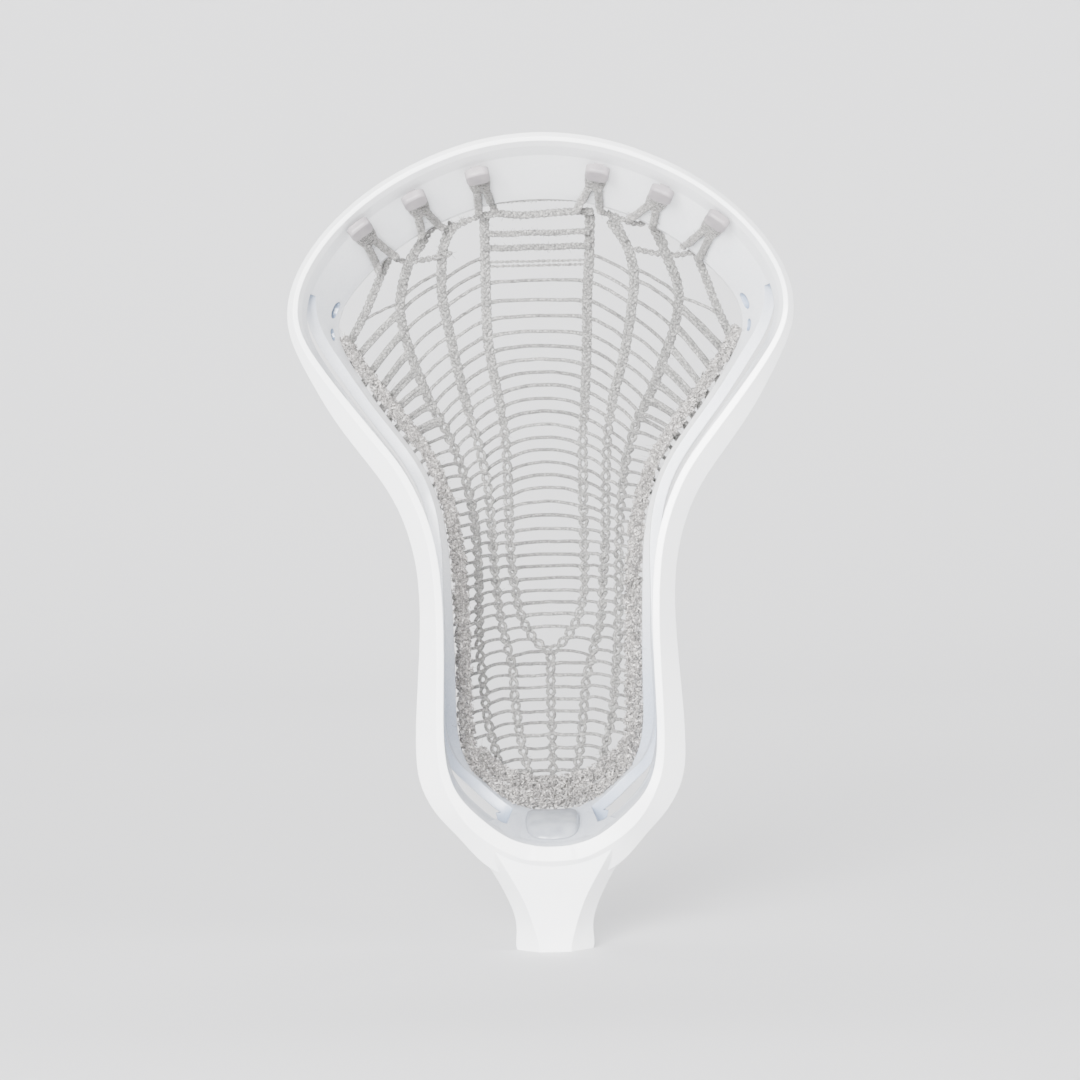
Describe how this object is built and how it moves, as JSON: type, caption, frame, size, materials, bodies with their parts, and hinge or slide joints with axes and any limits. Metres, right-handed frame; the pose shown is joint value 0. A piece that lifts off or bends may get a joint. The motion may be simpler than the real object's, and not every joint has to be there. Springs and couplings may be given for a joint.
{
  "type": "lacrosse_head",
  "caption": "White moulded women's lacrosse head with a strung runner pocket, T-shaped scoop hooks, knotted side bindings, ball-stop pad and an octagonal shaft socket",
  "frame": {"origin": "centre of the shaft socket's mouth, at the bottom end of the throat", "axes": "+Z along the shaft axis from the socket to the scoop, the ball side faces -Y and the pocket bags towards +Y, +X to the right as the ball side is seen"},
  "size_m": [0.1875, 0.0954, 0.3037],
  "materials": {
    "head_plastic": "gloss",
    "hook_plastic": "satin",
    "pad_rubber": "satin",
    "string": "matte"
  },
  "bodies": {
    "root": {"head_frame": "head_plastic", "ball_stop_pad": "pad_rubber", "scoop_hook_1": "hook_plastic", "scoop_hook_2": "hook_plastic", "scoop_hook_3": "hook_plastic", "scoop_hook_4": "hook_plastic", "scoop_hook_5": "hook_plastic", "scoop_hook_6": "hook_plastic", "hook_loop_1": "string", "hook_loop_2": "string", "hook_loop_3": "string", "hook_loop_4": "string", "hook_loop_5": "string", "hook_loop_6": "string", "top_cord": "string", "shooting_cord_upper": "string", "shooting_cord_lower": "string", "side_binding_left": "string", "side_binding_right": "string", "bottom_binding": "string", "pocket_net": "string"}
  },
  "joints": []
}
